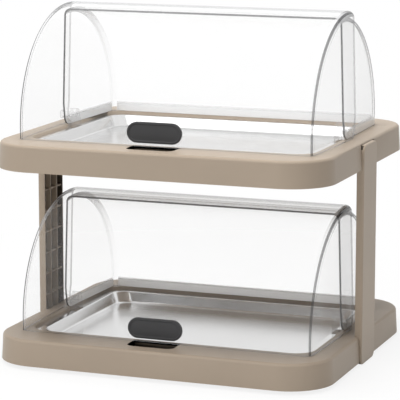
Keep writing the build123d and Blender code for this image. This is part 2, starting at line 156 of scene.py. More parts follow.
class Nodes:
    """A node tree whose nodes are added from code.

    Args:
        tree: The tree to add to.
    """

    def __init__(self, tree: NodeTree) -> None:
        """Take hold of the tree."""
        self.tree = tree

    def node(self, kind: str, settings: Optional[Inputs] = None, inputs: Optional[Inputs] = None) -> Node:
        """Add a node, set it up and feed its sockets.

        Args:
            kind: The node's type.
            settings: Attributes to set first.
            inputs: Values or links of its input sockets, or lists of links.

        Returns:
            The new node.
        """
        made = self.tree.nodes.new(kind)
        for key, value in (settings or {}).items():
            setattr(made, key, value)
        for key, value in (inputs or {}).items():
            for source in value if isinstance(value, list) else [value]:
                self.feed(made.inputs[key], source)
        return made

    def out(
        self, kind: str, inputs: Optional[Inputs] = None, output: Key = 0, **settings: object
    ) -> NodeSocket:
        """Add a node and return one of its outputs."""
        return self.node(kind, settings, inputs).outputs[output]

    def value(
        self, kind: str, inputs: Optional[Inputs] = None, output: Key = 0, **settings: object
    ) -> Value:
        """Add a node and return one of its outputs as a value to reckon with."""
        return Value(self, self.out(kind, inputs, output, **settings))

    def feed(self, socket: NodeSocket, value: object) -> None:
        """Link a value to a socket, or set it there when it is constant."""
        if isinstance(value, Value):
            self.tree.links.new(value.socket, socket)
        elif isinstance(value, NodeSocket):
            self.tree.links.new(value, socket)
        else:
            socket.default_value = opaque(value) if socket.type == "RGBA" else value

    def spread(self, value: Value, low: float, high: float, into: Flat = (0.0, 1.0)) -> Value:
        """Stretch part of a value's range over another range, held at its ends."""
        inputs = {0: value, 1: low, 2: high, 3: into[0], 4: into[1]}
        return self.value("ShaderNodeMapRange", inputs, clamp=True)

    def seen(self, into: Flat = (0.0, 1.0)) -> Value:
        """The second number for camera, mirrored and refracted rays, the first for others."""
        path = self.node("ShaderNodeLightPath").outputs
        camera, glossy, refracted = (
            Value(self, path[f"Is {kind} Ray"]) for kind in ("Camera", "Glossy", "Transmission")
        )
        return self.spread(camera + glossy + refracted, 0.0, 1.0, into)


class Shader(Nodes):
    """A material with one Principled shader.

    Args:
        name: The material's name.
    """

    def __init__(self, name: str) -> None:
        """Start the material."""
        self.material = bpy.data.materials.new(name)
        self.material.use_nodes = True
        super().__init__(self.material.node_tree)
        self.tree.nodes.clear()
        self.surface = self.node("ShaderNodeBsdfPrincipled")
        self.output = self.node("ShaderNodeOutputMaterial", {}, {"Surface": self.surface.outputs["BSDF"]})

    def set(self, socket: str, value: object) -> None:
        """Feed one socket of the surface shader."""
        self.feed(self.surface.inputs[socket], value)

    def show(self, surface: NodeSocket) -> None:
        """Put another shader in place of the Principled one at the output."""
        self.feed(self.output.inputs["Surface"], surface)

    def glow(self, level: float) -> NodeSocket:
        """An even white light from the surface."""
        return self.out("ShaderNodeEmission", {"Color": WHITE, "Strength": level})

    def place(self) -> NodeSocket:
        """The point in object space."""
        return self.out("ShaderNodeTexCoord", output="Object")

    def height(self) -> Value:
        """Height above the table in metres."""
        return self.value("ShaderNodeSeparateXYZ", {0: self.place()}, 2)

    def noise(self, scale: Union[float, Point], detail: float = 2.0) -> Value:
        """Noise in object space.

        Args:
            scale: Waves per metre, one number or one along each axis.
            detail: Octaves of finer noise.

        Returns:
            A value between 0 and 1.
        """
        scales = scale if isinstance(scale, tuple) else (scale,) * 3
        mapped = self.out("ShaderNodeMapping", {"Vector": self.place(), "Scale": scales})
        return self.value("ShaderNodeTexNoise", {"Vector": mapped, "Scale": 1.0, "Detail": detail})

    def mix(self, factor: Value, first: object, second: object) -> NodeSocket:
        """Mix two colours, each plain or a link, by a value."""
        return self.out("ShaderNodeMix", {0: factor, 6: first, 7: second}, 2, data_type="RGBA")

    def bump(self, height: Value, depth: float, strength: float = 0.5) -> None:
        """Raise the surface by a height value.

        Args:
            height: The relief, from 0 to 1.
            depth: The relief's full height in metres.
            strength: How much of it shows.
        """
        inputs = {"Height": height, "Distance": depth, "Strength": strength}
        self.set("Normal", self.out("ShaderNodeBump", inputs))

    def facing(self) -> Value:
        """0 where the surface faces the eye, rising to 1 at a grazing angle."""
        return self.value("ShaderNodeLayerWeight", {"Blend": 0.5}, "Facing")


def tinted(colour: Sequence[float], factor: float) -> Point:
    """A colour made darker or lighter."""
    return tuple(min(1.0, c * factor) for c in colour)


# Finishes


@dataclass(frozen=True)
class MouldedPlastic:
    """Opaque moulded plastic with a fine grain.

    Args:
        name: The material's name.
        colour: Its base colour.
        roughness: Its mean roughness.
        mottle: How far the colour wanders, as a share.
        grain: Height of the surface grain in metres.
        grain_scale: Grains per metre.
        shine: Strength of its mirror reflection.
        cloud_scale: Colour clouds per metre.
        fine_wear: How far the grain changes the roughness.
        cloud_wear: How far the clouds change it.
    """

    name: str
    colour: Point
    roughness: float = 0.45
    mottle: float = 0.02
    grain: float = 0.00002
    grain_scale: float = 1400.0
    shine: float = 0.26
    cloud_scale: float = 9.0
    fine_wear: float = 0.08
    cloud_wear: float = 0.04

    def material(self) -> Material:
        """Build the material."""
        shader = Shader(self.name)
        cloud = shader.noise(self.cloud_scale, 3.0)
        darker, lighter = (tinted(self.colour, 1 + i * self.mottle) for i in (-1, 1))
        shader.set("Base Color", shader.mix(shader.spread(cloud, *NOISE_RANGE), darker, lighter))
        fine = shader.noise(self.grain_scale, 1.0)
        wear = (fine - 0.5) * self.fine_wear + (cloud - 0.5) * self.cloud_wear
        shader.set("Roughness", self.roughness + wear)
        shader.set("Specular IOR Level", self.shine)
        shader.bump(fine, self.grain)
        return shader.material


@dataclass(frozen=True)
class BrushedSteel:
    """Stainless steel with a faint brushed grain.

    Args:
        name: The material's name.
        colour: Its reflection colour.
        roughness: Its mean roughness.
        lines: Brush lines per metre across the grain.
        along: Waves per metre along the grain.
        patch_scale: Patches of other roughness per metre.
        wear: How far the lines and the patches change the roughness.
        relief: Height of the brush lines in metres.
    """

    name: str
    colour: Point
    roughness: float = 0.22
    lines: float = 1500.0
    along: float = 12.0
    patch_scale: float = 22.0
    wear: float = 0.06
    relief: float = 0.000012

    def material(self) -> Material:
        """Build the material."""
        shader = Shader(self.name)
        lines = shader.noise((self.along, self.lines, self.lines))
        patches = shader.noise(self.patch_scale)
        shader.set("Base Color", shader.mix(lines, tinted(self.colour, 0.96), tinted(self.colour, 1.03)))
        shader.set("Metallic", 1.0)
        shader.set("Roughness", self.roughness + (lines - 0.5) * self.wear + (patches - 0.5) * self.wear)
        shader.bump(lines, self.relief)
        return shader.material


@dataclass(frozen=True)
class ClearPlastic:
    """Clear moulded plastic, denser and darker where it is seen at a grazing angle.

    Args:
        name: The material's name.
        colour: Tint of the plastic seen face on.
        grazing: Tint at a grazing angle.
        face_on: How much a wall hides when seen face on.
        edge_on: How much more it hides at a grazing angle.
        sharpness: Power that keeps the grazing part narrow.
        band: Heights from and to which a pale reflection along the foot fades out, per tier.
        band_strength: How much that reflection hides.
        roughness: Its roughness.
        refraction: Its index of refraction.
        haze_scale: Patches of haze per metre.
        haze_hides: How far the haze changes what a wall hides.
        haze_wear: How far it raises the roughness.
        tint_range: Range of the grazing part over which the tint changes.
        band_rise: Height over which the foot's reflection begins, in metres.
        band_full: Share of its height that stays at full strength.
    """

    name: str
    colour: Point
    grazing: Point
    face_on: float = 0.02
    edge_on: float = 1.0
    sharpness: float = 7.0
    band: tuple[Flat, ...] = ()
    band_strength: float = 0.0
    roughness: float = 0.04
    refraction: float = 1.49
    haze_scale: float = 30.0
    haze_hides: float = 0.01
    haze_wear: float = 0.02
    tint_range: Flat = (0.05, 0.6)
    band_rise: float = 4.0 * MM
    band_full: float = 0.7

    def _foot_band(self, shader: Shader) -> Value:
        """Mask of a painted pale reflection: 1 just above a cover's foot, fading to 0 at the band's upper
        height.
        """
        height = shader.height()
        total: Term = 0.0
        for low, high in self.band:
            rise = shader.spread(height, low - self.band_rise, low)
            fall = shader.spread(height, low + (high - low) * self.band_full, high, (1.0, 0.0))
            total = total + rise * fall
        return total

    def material(self) -> Material:
        """Build the material."""
        shader = Shader(self.name)
        graze = shader.facing() ** self.sharpness
        haze = shader.noise(self.haze_scale)
        tint = shader.mix(shader.spread(graze, *self.tint_range), self.colour, self.grazing)
        alpha = self.face_on + self.edge_on * graze + (haze - 0.5) * self.haze_hides
        # The band whitens the plastic and makes it denser along the foot: a painted reflection.
        if self.band:
            foot = self._foot_band(shader)
            tint = shader.mix(foot, tint, WHITE)
            alpha = alpha + foot * self.band_strength
        shader.set("Base Color", tint)
        shader.set("Roughness", self.roughness + haze * self.haze_wear)
        shader.set("IOR", self.refraction)
        shader.set("Alpha", shader.spread(alpha, 0.0, 1.0))
        return shader.material


TAUPE = (0.372, 0.302, 0.233)
TAUPE_SHELL = MouldedPlastic("taupe shell plastic", tinted(TAUPE, 0.95), roughness=0.42)
TAUPE_POST = MouldedPlastic("taupe post plastic", TAUPE, roughness=0.42)
TAUPE_PAN = MouldedPlastic("taupe pan plastic", tinted(TAUPE, 0.9), roughness=0.5)
# Taupe darkened to a sixth for the inside of the post channels: painted shade under the upper tier.
TAUPE_CHANNEL_SHADE = MouldedPlastic("taupe channel plastic", tinted(TAUPE, 0.16), roughness=0.55)
# Near black for the finger recess: painted shade of the deep hollow, not a colour of the plastic.
RECESS_SHADE = MouldedPlastic("recess dark liner", (0.002, 0.0018, 0.0015), roughness=0.9, shine=0.0)
HANDLE_DARK = MouldedPlastic("handle dark plastic", (0.052, 0.052, 0.054), roughness=0.38, mottle=0.05)
RUBBER = MouldedPlastic("rubber foot", (0.03, 0.03, 0.03), roughness=0.7, mottle=0.05, grain=0.00006)
PACK_BLUE = MouldedPlastic("cooling pack plastic", (0.16, 0.38, 0.68), roughness=0.35)
TRAY_STEEL = BrushedSteel("tray steel", (0.77, 0.77, 0.77), roughness=0.2)
SCREW_STEEL = BrushedSteel("screw steel", (0.6, 0.6, 0.62), roughness=0.3)
CLEAR_TINT = (0.9, 0.9, 0.9)
# Near-black colours that paint the dark refraction at the covers' bends and rear cut edges.
PAINTED_REFRACTION_DARK = (0.06, 0.06, 0.063)
PAINTED_REFRACTION_GRAZING = (0.02, 0.02, 0.022)
GREY_GRAZING = (0.3, 0.31, 0.32)
CLEAR_FRONT = ClearPlastic("clear front cover", CLEAR_TINT, GREY_GRAZING)
CLEAR_REAR = ClearPlastic(
    "clear rear cover",
    CLEAR_TINT,
    GREY_GRAZING,
    # The band paints a pale reflection along the rear covers' foot at each tier's rim.
    band=tuple((tier.rim, tier.rim + 13.0 * MM) for tier in Tier),
    band_strength=0.85,
)
CLEAR_BRACKET = ClearPlastic(
    "clear bracket", (0.8, 0.8, 0.81), (0.3, 0.3, 0.31), face_on=0.05, edge_on=0.6, sharpness=3.0
)
# Bend materials: dark lines painted on the covers' rounded corners in place of refraction.
BEND_CORE = ClearPlastic(
    "front cover bend", PAINTED_REFRACTION_DARK, PAINTED_REFRACTION_GRAZING, face_on=0.6, edge_on=0.6, sharpness=1.5
)
BEND_SOFT = ClearPlastic(
    "cover bend", (0.85, 0.85, 0.86), PAINTED_REFRACTION_GRAZING, face_on=0.03, edge_on=2.2, sharpness=3.0
)
# Cut-edge materials: grey and near black painted on the covers' cut edges in place of dark refraction.
EDGE_FRONT = ClearPlastic(
    "front cover cut edge", (0.3, 0.3, 0.31), (0.2, 0.2, 0.2), face_on=0.4, edge_on=0.2, sharpness=1.0
)
EDGE_REAR = ClearPlastic(
    "rear cover cut edge", PAINTED_REFRACTION_DARK, (0.06, 0.06, 0.06), face_on=0.9, edge_on=0.1, sharpness=1.0
)


# Mesh tools


MERGE_DISTANCE = 0.002 * MM


def link_object(name: str, data: Optional[ID]) -> Object:
    """Put some data in a new object of the scene."""
    made = bpy.data.objects.new(name, data)
    bpy.context.scene.collection.objects.link(made)
    return made


def plain_mesh(name: str, vertices: Sequence[Point], faces: Sequence[Sequence[int]] = ()) -> Mesh:
    """A mesh of points and faces, or of loose points."""
    mesh = bpy.data.meshes.new(name)
    mesh.from_pydata([tuple(v) for v in vertices], [], [tuple(f) for f in faces])
    return mesh


def make_points(name: str, points: Sequence[Point] = ((0.0, 0.0, 0.0),)) -> Object:
    """An object of loose points, for a geometry node tree to fill."""
    return link_object(name, plain_mesh(name, points))


def make_object(
    name: str, vertices: Sequence[Point], faces: Sequence[Sequence[int]], materials: Sequence[Material]
) -> Object:
    """Make an object of a closed mesh, with its faces pointing outwards.

    Args:
        name: The object's name.
        vertices: Points in metres.
        faces: Corner numbers of each face.
        materials: Its materials; every face starts with the first.

    Returns:
        The new object, linked to the scene.
    """
    mesh = plain_mesh(name, vertices, faces)
    work = bmesh.new()
    work.from_mesh(mesh)
    bmesh.ops.remove_doubles(work, verts=work.verts, dist=MERGE_DISTANCE)
    bmesh.ops.recalc_face_normals(work, faces=work.faces)
    work.to_mesh(mesh)
    work.free()
    for material in materials:
        mesh.materials.append(material)
    return link_object(name, mesh)


def settle(piece: Object) -> Object:
    """Turn an object and its modifiers into a plain mesh."""
    graph = bpy.context.evaluated_depsgraph_get()
    mesh = bpy.data.meshes.new_from_object(piece.evaluated_get(graph), depsgraph=graph)
    piece.modifiers.clear()
    old = piece.data
    piece.data = mesh
    mesh.name = piece.name
    bpy.data.meshes.remove(old)
    return piece


def soften(piece: Object, angle: float = 30.0) -> Object:
    """Smooth the shading of round faces and keep flat faces flat.

    Args:
        piece: The object.
        angle: Edges sharper than this many degrees stay sharp.

    Returns:
        The same object with a plain mesh.
    """
    piece.data.shade_smooth()
    piece.data.set_sharp_from_angle(angle=math.radians(angle))
    weighted = piece.modifiers.new("weighted normals", "WEIGHTED_NORMAL")
    weighted.mode = "FACE_AREA"
    weighted.keep_sharp = True
    return settle(piece)


def cut(piece: Object, tool: Object, operation: str) -> Object:
    """Cut a closed mesh with another, which is then deleted.

    Args:
        piece: The object to cut.
        tool: The cutting object; its material goes to the cut faces.
        operation: INTERSECT, DIFFERENCE or UNION.

    Returns:
        The cut object.
    """
    boolean = piece.modifiers.new("cut", "BOOLEAN")
    boolean.operation = operation
    boolean.solver = "EXACT"
    boolean.material_mode = "TRANSFER"
    boolean.object = tool
    settle(piece)
    bpy.data.objects.remove(tool)
    return piece


def smooth_copy(node: str, name: str, materials: Sequence[Material]) -> Object:
    """A merged, smoothly shaded copy of a CAD node's mesh.

    Args:
        node: The CAD node.
        name: The copy's name.
        materials: Materials for the copy.

    Returns:
        The new object.
    """
    work = bmesh.new()
    work.from_mesh(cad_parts[node].data)
    bmesh.ops.remove_doubles(work, verts=work.verts, dist=MERGE_DISTANCE)
    mesh = bpy.data.meshes.new(name)
    work.to_mesh(mesh)
    work.free()
    mesh.materials.clear()
    for material in materials:
        mesh.materials.append(material)
    return soften(link_object(name, mesh))


def raised_copy(piece: Object, name: str, rise: float) -> Object:
    """A copy of a piece of the lower tier, moved up in its mesh."""
    mesh = piece.data.copy()
    mesh.name = name
    mesh.transform(Matrix.Translation((0.0, 0.0, rise)))
    return link_object(name, mesh)


def box_object(name: str, low: Point, high: Point, material: Material) -> Object:
    """A plain box between two corners."""
    corners = [(x, y, z) for x in (low[0], high[0]) for y in (low[1], high[1]) for z in (low[2], high[2])]
    faces = [(0, 1, 3, 2), (4, 6, 7, 5), (0, 4, 5, 1), (2, 3, 7, 6), (0, 2, 6, 4), (1, 5, 7, 3)]
    return make_object(name, corners, faces, [material])


def arc(centre: Flat, radius: float, start: float, end: float, steps: int) -> list[Flat]:
    """Points on an arc, from one angle to another in degrees, ends included."""
    turns = [math.radians(start + (end - start) * i / steps) for i in range(steps + 1)]
    return [(centre[0] + radius * math.cos(t), centre[1] + radius * math.sin(t)) for t in turns]


def rounded_rectangle(half_x: float, half_y: float, corner: float, steps: int = 10) -> list[Flat]:
    """A rounded rectangle about the origin, counter-clockwise."""
    points: list[Flat] = []
    for quarter, (sx, sy) in enumerate(((1, 1), (-1, 1), (-1, -1), (1, -1))):
        centre = (sx * (half_x - corner), sy * (half_y - corner))
        points += arc(centre, corner, 90.0 * quarter, 90.0 * (quarter + 1), steps)
    return points


def rounded_corner(corner: Flat, before: Flat, after: Flat, radius: float, steps: int) -> list[Flat]:
    """Points of the arc that rounds one corner of an outline.

    Args:
        corner: The sharp corner.
        before: A point on the line that comes in.
        after: A point on the line that goes out.
        radius: The arc's radius.
        steps: Number of pieces.

    Returns:
        The arc's points, ends included.
    """
    tip = Vector(corner)
    back = (Vector(before) - tip).normalized()
    ahead = (Vector(after) - tip).normalized()
    half = back.angle(ahead) / 2
    centre = tip + (back + ahead).normalized() * (radius / math.sin(half))
    reach = radius / math.tan(half)
    start = tip + back * reach - centre
    end = tip + ahead * reach - centre
    first = math.atan2(start.y, start.x)
    turn = math.remainder(math.atan2(end.y, end.x) - first, 2 * math.pi)
    angles = [first + turn * i / steps for i in range(steps + 1)]
    return [(centre.x + radius * math.cos(a), centre.y + radius * math.sin(a)) for a in angles]


def ring_solid(
    name: str, rings: Sequence[Sequence[Point]], materials: Sequence[Material], capped: bool = True
) -> Object:
    """A skin through closed rings of as many points each.

    Args:
        name: The object's name.
        rings: The rings in order.
        materials: Its materials.
        capped: Whether the first and last rings are filled.

    Returns:
        The new object.
    """
    count = len(rings[0])
    vertices = [p for ring in rings for p in ring]
    faces: list[Sequence[int]] = []
    for k in range(len(rings) - 1):
        for i in range(count):
            j = (i + 1) % count
            faces.append((k * count + i, k * count + j, (k + 1) * count + j, (k + 1) * count + i))
    if capped:
        faces.append(range(count - 1, -1, -1))
        faces.append([(len(rings) - 1) * count + i for i in range(count)])
    return make_object(name, vertices, faces, materials)


def dress(piece: Object, body: str, replaced: Sequence[str] = ()) -> Object:
    """Attach a finished piece to its body and hide the CAD nodes that it stands for."""
    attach(piece, body)
    if replaced:
        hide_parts(*replaced)
    LOG.info("made %s on body %s (%d faces)", piece.name, body, len(piece.data.polygons))
    return piece


# Repeated pieces by geometry nodes


class NodeTool(Nodes):
    """A geometry node tree with named inputs.

    Args:
        name: The tree's name.
        inputs: Kind of each named input besides the geometry and the material.
    """

    def __init__(self, name: str, inputs: dict[str, str]) -> None:
        """Start the tree with its inputs and outputs."""
        super().__init__(bpy.data.node_groups.new(name, "GeometryNodeTree"))
        face = self.tree.interface
        face.new_socket("Geometry", in_out="INPUT", socket_type="NodeSocketGeometry")
        face.new_socket("Geometry", in_out="OUTPUT", socket_type="NodeSocketGeometry")
        for label, kind in {**inputs, "Material": "Material"}.items():
            face.new_socket(label, in_out="INPUT", socket_type=f"NodeSocket{kind}")
        self.given = self.node("NodeGroupInput").outputs
        self.exit = self.node("NodeGroupOutput")

    def number(self, name: str) -> Value:
        """A named input as a value to reckon with."""
        return Value(self, self.given[name])

    def vector(self, **parts: object) -> NodeSocket:
        """A vector from some of its X, Y and Z."""
        return self.out("ShaderNodeCombineXYZ", parts)

    def moved(self, geometry: NodeSocket, shift: NodeSocket) -> NodeSocket:
        """Some geometry, shifted."""
        return self.out("GeometryNodeTransform", {"Geometry": geometry, "Translation": shift})

    def rod(self, sides: int, radius: Value, length: Value) -> NodeSocket:
        """An upright cylinder about the origin."""
        inputs = {"Vertices": sides, "Radius": radius, "Depth": length}
        return self.out("GeometryNodeMeshCylinder", inputs, "Mesh", fill_type="NGON")

    def bar(self, size: NodeSocket) -> NodeSocket:
        """A box about the origin."""
        return self.out("GeometryNodeMeshCube", {"Size": size}, "Mesh")

    def close(self, points: NodeSocket, instance: NodeSocket, **more: NodeSocket) -> NodeTree:
        """End the tree with instances on points, Realize Instances and Set Material."""
        inputs = {"Points": points, "Instance": instance, **more}
        placed = self.out("GeometryNodeInstanceOnPoints", inputs)
        real = self.out("GeometryNodeRealizeInstances", {"Geometry": placed})
        inputs = {"Geometry": real, "Material": self.given["Material"]}
        self.feed(self.exit.inputs[0], self.out("GeometryNodeSetMaterial", inputs))
        return self.tree


def run_tool(piece: Object, tree: NodeTree, **values: object) -> Object:
    """Run a geometry node tree on an object and keep the result as a plain mesh.

    Args:
        piece: The object whose mesh goes in.
        tree: The tree.
        values: Its inputs by name, with underscores for spaces.

    Returns:
        The same object.
    """
    modifier = piece.modifiers.new("tool", "NODES")
    modifier.node_group = tree
    for item in tree.interface.items_tree:
        key = item.name.replace(" ", "_").lower()
        if item.in_out == "INPUT" and key in values:
            modifier[item.identifier] = values[key]
    return settle(piece)


def screw_tree() -> NodeTree:
    """A tree that puts a cross-slotted screw at each point, along one direction."""
    lengths = ("Head Radius", "Head Height", "Shank Radius", "Shank Length", "Slot Width")
    head_sides, shank_sides, slot_share = 24, 16, 1.3
    tool = NodeTool("screws at points", {**dict.fromkeys(lengths, "Float"), "Turn": "Vector"})
    head_radius, head_height, shank_radius, shank_length, slot_width = map(tool.number, lengths)
    head = tool.rod(head_sides, head_radius, head_height)
    shank = tool.rod(shank_sides, shank_radius, shank_length)
    lowered = tool.moved(shank, tool.vector(Z=(shank_length + head_height) * -0.5))
    slot_length = head_radius * slot_share
    raised = tool.vector(Z=head_height * 0.5)
    bars = []
    for long_way, short_way in (("X", "Y"), ("Y", "X")):
        size = tool.vector(**{long_way: slot_length, short_way: slot_width, "Z": head_height})
        bars.append(tool.moved(tool.bar(size), raised))
    inputs = {0: head, 1: bars}
    slotted = tool.out("GeometryNodeMeshBoolean", inputs, operation="DIFFERENCE", solver="EXACT")
    screw = tool.out("GeometryNodeJoinGeometry", {0: [slotted, lowered]})
    points = tool.out("GeometryNodeMeshToPoints", {0: tool.given["Geometry"]})
    return tool.close(points, screw, Rotation=tool.given["Turn"])


def rib_tree() -> NodeTree:
    """A tree that repeats a bar of one size along a line."""
    vectors = dict.fromkeys(("Size", "Start", "Step"), "Vector")
    tool = NodeTool("ribs along a line", {**vectors, "Count": "Int"})
    given = tool.given
    inputs = {"Count": given["Count"], "Start Location": given["Start"], "Offset": given["Step"]}
    line = tool.out("GeometryNodeMeshLine", inputs, mode="OFFSET")
    return tool.close(line, tool.bar(given["Size"]))


@dataclass
class ScrewSet:
    """The pan screws of a tier, with their heads facing down.

    Args:
        tier: The tier that they hold together.
        material: Their material.
    """

    tier: Tier
    material: Material
    side_place: Flat = (200.45 * MM, 112.0 * MM)
    end_place: Flat = (118.0 * MM, 165.2 * MM)
    head_radius: float = 3.6 * MM
    head_height: float = 2.0 * MM
    shank_radius: float = 1.6 * MM
    shank_length: float = 12.0 * MM
    slot_width: float = 0.8 * MM

    def build(self, tree: NodeTree) -> Object:
        """Make the screws as one plain mesh, with the tree that repeats them."""
        node = self.tier.node("pan_screws")
        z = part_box(node)[0].z + self.head_height / 2
        places = (self.side_place, self.end_place)
        heads = [(i * x, j * y, z) for x, y in places for i in (-1, 1) for j in (-1, 1)]
        piece = run_tool(
            make_points(self.tier.node("pan_screw_set"), heads),
            tree,
            head_radius=self.head_radius,
            head_height=self.head_height,
            shank_radius=self.shank_radius,
            shank_length=self.shank_length,
            slot_width=self.slot_width,
            turn=(math.pi, 0.0, 0.0),
            material=self.material,
        )
        return dress(soften(piece), "base", [node])


# Sub-assemblies


@dataclass
class RollCover:
    """A clear quarter-drum cover about the tier's turning axis.

    Args:
        tier: The tier that it belongs to.
        side: Whether it is the front or the rear cover.
        radius: Outer radius of its round wall.
        half_width: Half its width at the axis.
        hub_inner: Half the distance between its hubs' inner faces.
        taper: How much narrower half its width is at the round wall.
        overlap: How far it reaches over the axis to the other cover's side.
        heel_height: Height of the lowest point of its cut edge there, over the axis.
        foot: Depth of its foot under the axis.
        bend_share: Share of the corner that gets painted dark refraction.
        core_share: Share of a front cover's corner that gets the darkest painted refraction.
    """

    tier: Tier
    side: CoverSide
    radius: float
    half_width: float
    hub_inner: float
    wall: float = 2.4 * MM
    taper: float = 4.4 * MM
    corner: float = 9.0 * MM
    overlap: float = 15.5 * MM
    heel_height: float = 16.0 * MM
    foot: float = 12.2 * MM
    hub_radius: float = 8.0 * MM
    pin_hole: float = 3.1 * MM
    bend_share: float = 0.85
    core_share: float = 0.46
    turns: int = 120
    corner_steps: int = 8
    heel_steps: int = 12

    def _wall_line(self, inset: float) -> tuple[float, float, Callable[[float], float]]:
        """Radius, rim half-width and the end wall's X at a radius, inset from the outside."""
        radius = self.radius - inset
        width = self.half_width - inset

        def at(r: float) -> float:
            return width - self.taper * r / radius

        return radius, width - self.taper, at

    def _half_outline(self, inset: float, start: float) -> list[Flat]:
        """One skin of the drum from its right end to its left, as (x, radius) points."""
        radius, rim, at = self._wall_line(inset)
        bend = self.corner - inset
        right = rounded_corner((rim, radius), (at(0.0), 0.0), (0.0, radius), bend, self.corner_steps)
        half = [(at(start), start), *right]
        return half + [(-x, r) for x, r in reversed(half)]

    def outline(self) -> list[Flat]:
        """The drum's closed outline in the half plane through its axis."""
        outer = self._half_outline(0.0, self.pin_hole)
        inner = self._half_outline(self.wall, self.hub_radius)
        hub_left = [(-self.hub_inner, self.pin_hole), (-self.hub_inner, self.hub_radius)]
        hub_right = [(self.hub_inner, self.hub_radius), (self.hub_inner, self.pin_hole)]
        return outer + hub_left + list(reversed(inner)) + hub_right

    def _kept(self) -> list[Flat]:
        """The outline in Y and Z, about the axis, of what one cover keeps of the drum."""
        d = self.side.value
        far = 2 * self.radius
        heel = arc((0.0, 0.0), self.foot, -90.0, -90.0 - d * 90.0, self.heel_steps)
        edge = -d * self.overlap
        return [(d * far, -self.foot), *heel, (edge, self.heel_height), (edge, far), (d * far, far)]

    def build(
        self, materials: Sequence[Material], twin: Optional[Object] = None, rise: float = 0.0
    ) -> Object:
        """Make the cover.

        Args:
            materials: Those of its walls, its cut edges and the core and sides of its bends; the last three
                paint dark refraction.
            twin: The same cover of the lower tier, if it is made already.
            rise: How far above the twin it lies.

        Returns:
            The finished object.
        """
        word = self.side.name.lower()
        name = self.tier.node(f"{word}_roll_cover")
        cover = raised_copy(twin, name, rise) if twin else self._shape(name, materials)
        replaced = [self.tier.node(f"{word}_cover")]
        return dress(cover, self.tier.node(word), replaced)

    def _mark_bends(self, cover: Object) -> None:
        """Give the middle of the rounded corners the materials that paint dark refraction."""
        reach = self.corner * self.bend_share
        for face in cover.data.polygons:
            x, y, z = face.center
            radius = math.hypot(y, z - self.tier.axis)
            within = max(self.half_width - self.taper - abs(x), self.radius - radius)
            if face.material_index == 0 and within < reach:
                core = within < self.corner * self.core_share and self.side is CoverSide.FRONT
                face.material_index = 2 if core else 3

    def _shape(self, name: str, materials: Sequence[Material]) -> Object:
        """Turn the outline about the axis and keep the cover's part of it."""
        rings = []
        for k in range(self.turns):
            t = 2 * math.pi * (k + 0.5) / self.turns
            c, s = math.cos(t), math.sin(t)
            rings.append([(x, r * c, self.tier.axis + r * s) for x, r in self.outline()])
        rings.append(rings[0])
        cover = ring_solid(name, rings, materials, capped=False)
        reach = 2 * self.half_width
        ends = [[(x, y, self.tier.axis + z) for y, z in self._kept()] for x in (-reach, reach)]
        # The cut faces take the second material, which paints the dark refraction of the cut edge.
        keeper = ring_solid("keeper", ends, [materials[1]])
        cut(cover, keeper, "INTERSECT")
        soften(cover)
        self._mark_bends(cover)
        return cover


@dataclass
class FingerPlate:
    """The dark handle of a front cover: a long rounded plate with a raised border.

    Args:
        tier: The tier that it belongs to.
        seat: Radius of the cover's outside, that the plate lies on.
        middle_x: Its middle along X.
        above_axis: Height of its middle over the axis.
        dish: Depth of its face below the border.
        dish_run: Width of the slope between them.
        strip_out: Distances of the backing strip's two faces from the cover's outside.
    """

    tier: Tier
    seat: float
    middle_x: float = -9.0 * MM
    above_axis: float = 5.5 * MM
    length: float = 72.0 * MM
    height: float = 26.0 * MM
    thickness: float = 3.6 * MM
    lip: float = 2.4 * MM
    dish: float = 1.0 * MM
    dish_run: float = 1.0 * MM
    edge_round: float = 0.7 * MM
    gap: float = 0.1 * MM
    strip_out: Flat = (-4.6 * MM, -2.5 * MM)
    strip_length: float = 64.0 * MM
    strip_height: float = 18.0 * MM
    steps: int = 24
    soft_angle: float = 40.0

    def _ring(self, inset: float, out: float, length: float, height: float) -> list[Point]:
        """A stadium ring wrapped on the cover at a distance from its outside."""
        end = height / 2 - inset
        straight = (length - height) / 2
        radius = self.seat + out
        points = []
        for side, start in ((1, -90.0), (-1, 90.0)):
            for x, v in arc((side * straight, 0.0), max(end, 0.0), start, start + 180.0, self.steps):
                t = math.asin(self.above_axis / radius) + v / radius
                points.append(
                    (self.middle_x + x, -radius * math.cos(t), self.tier.axis + radius * math.sin(t))
                )
        return points

    def _piece(self, part: str, node: str, section: Sequence[Flat], size: Flat, dark: Material) -> Object:
        """Make one of the two pieces.

        Args:
            part: The piece's name without its tier.
            node: The CAD node that it stands for, without its tier.
            section: Inset and distance out of its rings.
            size: Its length and height.
            dark: Its material.

        Returns:
            The finished piece.
        """
        rings = [self._ring(inset, out, *size) for inset, out in section]
        piece = soften(ring_solid(self.tier.node(part), rings, [dark], capped=False), self.soft_angle)
        return dress(piece, self.tier.node("front"), [self.tier.node(node)])

    def build(self, dark: Material) -> list[Object]:
        """Make the plate and the strip behind the cover's wall."""
        middle = self.height / 2
        top = self.thickness + self.gap
        r = self.edge_round
        under = [(middle * (4 - i) / 4, self.gap) for i in range(5)]
        turns = (0.0, 0.4, 0.8, 1.2, 1.57)
        crest = [(r * (1 - math.cos(a)), top - r * (1 - math.sin(a))) for a in turns]
        fall = [
            (self.lip + self.dish_run * i / 4, top - self.dish * (1 - math.cos(math.pi * i / 4)) / 2)
            for i in range(5)
        ]
        start = self.lip + self.dish_run
        floor = [(start + (middle - start) * i / 4, top - self.dish) for i in range(1, 5)]
        section = [*under, *crest, *fall, *floor]
        low, high = self.strip_out
        half = self.strip_height / 2
        strip = [(half * (4 - i) / 4, low) for i in range(5)] + [(half * i / 4, high) for i in range(5)]
        return [
            self._piece("finger_plate", "handle_plate", section, (self.length, self.height), dark),
            self._piece(
                "finger_plate_backing", "handle_backing", strip, (self.strip_length, self.strip_height), dark
            ),
        ]


